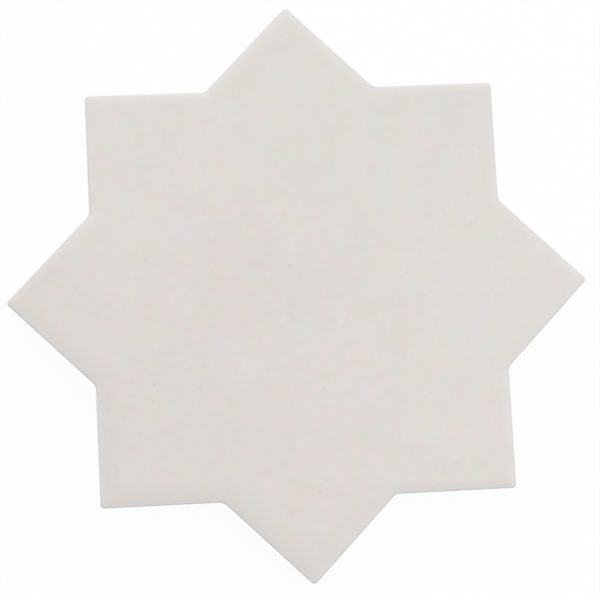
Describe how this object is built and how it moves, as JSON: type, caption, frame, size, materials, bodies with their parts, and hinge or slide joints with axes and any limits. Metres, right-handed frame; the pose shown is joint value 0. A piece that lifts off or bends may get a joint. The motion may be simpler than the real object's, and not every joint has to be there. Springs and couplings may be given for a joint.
{
  "type": "star-shaped porcelain tile",
  "caption": "Flat star-shaped porcelain tile outlined by two crossed squares, with a softly crowned matt off-white glazed face and a shallow square-keyed back for bedding.",
  "frame": {"origin": "middle of the back, on the plane of its rim and ribs, on which the tile lies", "axes": "+Z out of the glazed face, with one point of the star on each of +X, +Y, -X and -Y"},
  "size_m": [0.15, 0.15, 0.009],
  "materials": {
    "porcelain": "matt off-white glaze on the face, bare pressed body on the back"
  },
  "bodies": {
    "root": {"star_tile": "porcelain"}
  },
  "joints": []
}
